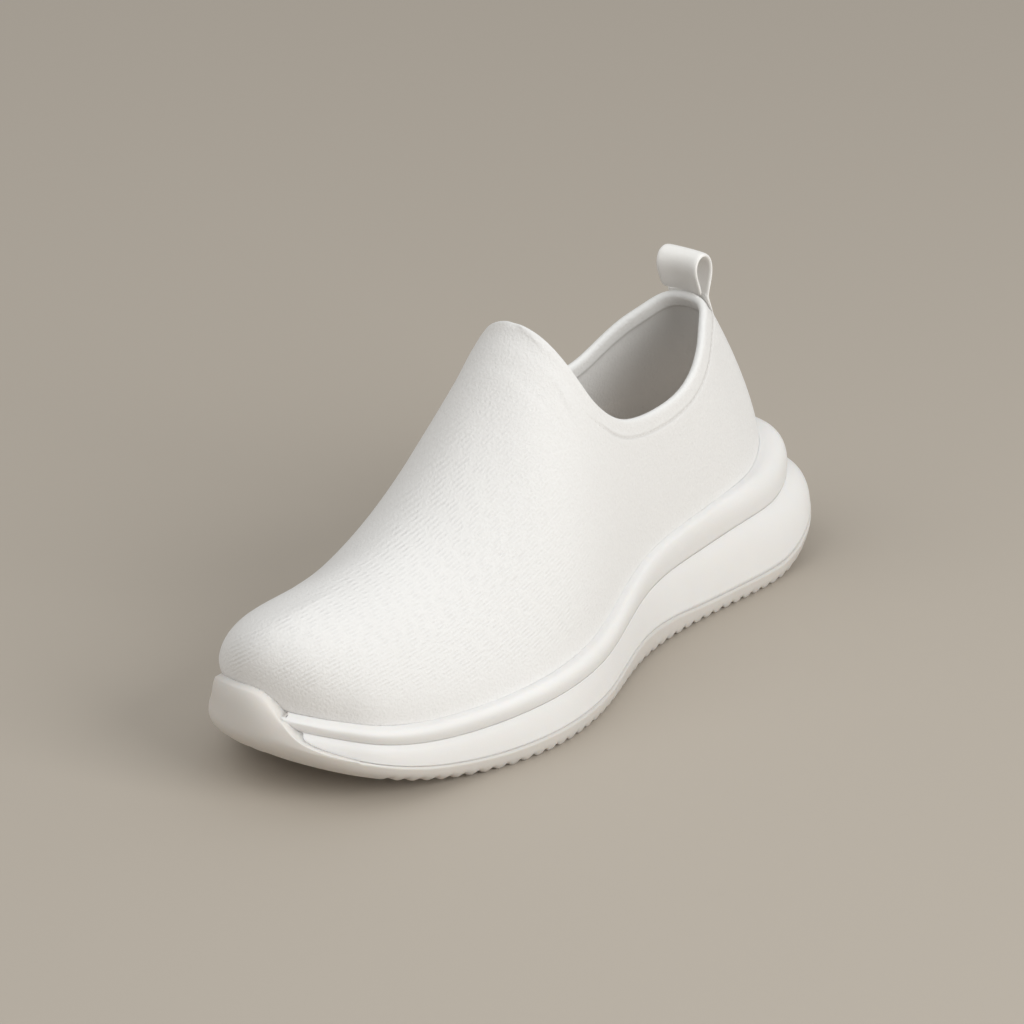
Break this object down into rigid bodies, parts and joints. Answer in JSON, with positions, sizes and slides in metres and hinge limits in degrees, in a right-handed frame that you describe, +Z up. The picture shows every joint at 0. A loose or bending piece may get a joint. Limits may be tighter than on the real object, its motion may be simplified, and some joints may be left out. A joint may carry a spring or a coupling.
{
  "type": "slip-on sneaker",
  "caption": "Low slip-on sneaker for the left foot: hollow knitted upper with a heel pull loop on a two-tier foam sole and a ribbed rubber outsole with a raised toe guard.",
  "frame": {"origin": "middle of the heel's flat spot, on the underside of the outsole, where it touches the floor", "axes": "+X to the toe, +Y to the outer side of the foot, +Z up"},
  "size_m": [0.3, 0.1085, 0.1319],
  "materials": {
    "outsole": "satin moulded rubber",
    "midsole": "matte foam",
    "foam_rim": "matte foam",
    "upper": "fine ribbed knit",
    "insole": "cushioned cloth",
    "pull_loop": "woven webbing"
  },
  "bodies": {
    "root": {"outsole": "outsole", "midsole": "midsole", "foam_rim": "foam_rim", "upper": "upper", "insole": "insole", "pull_loop": "pull_loop"}
  },
  "joints": []
}
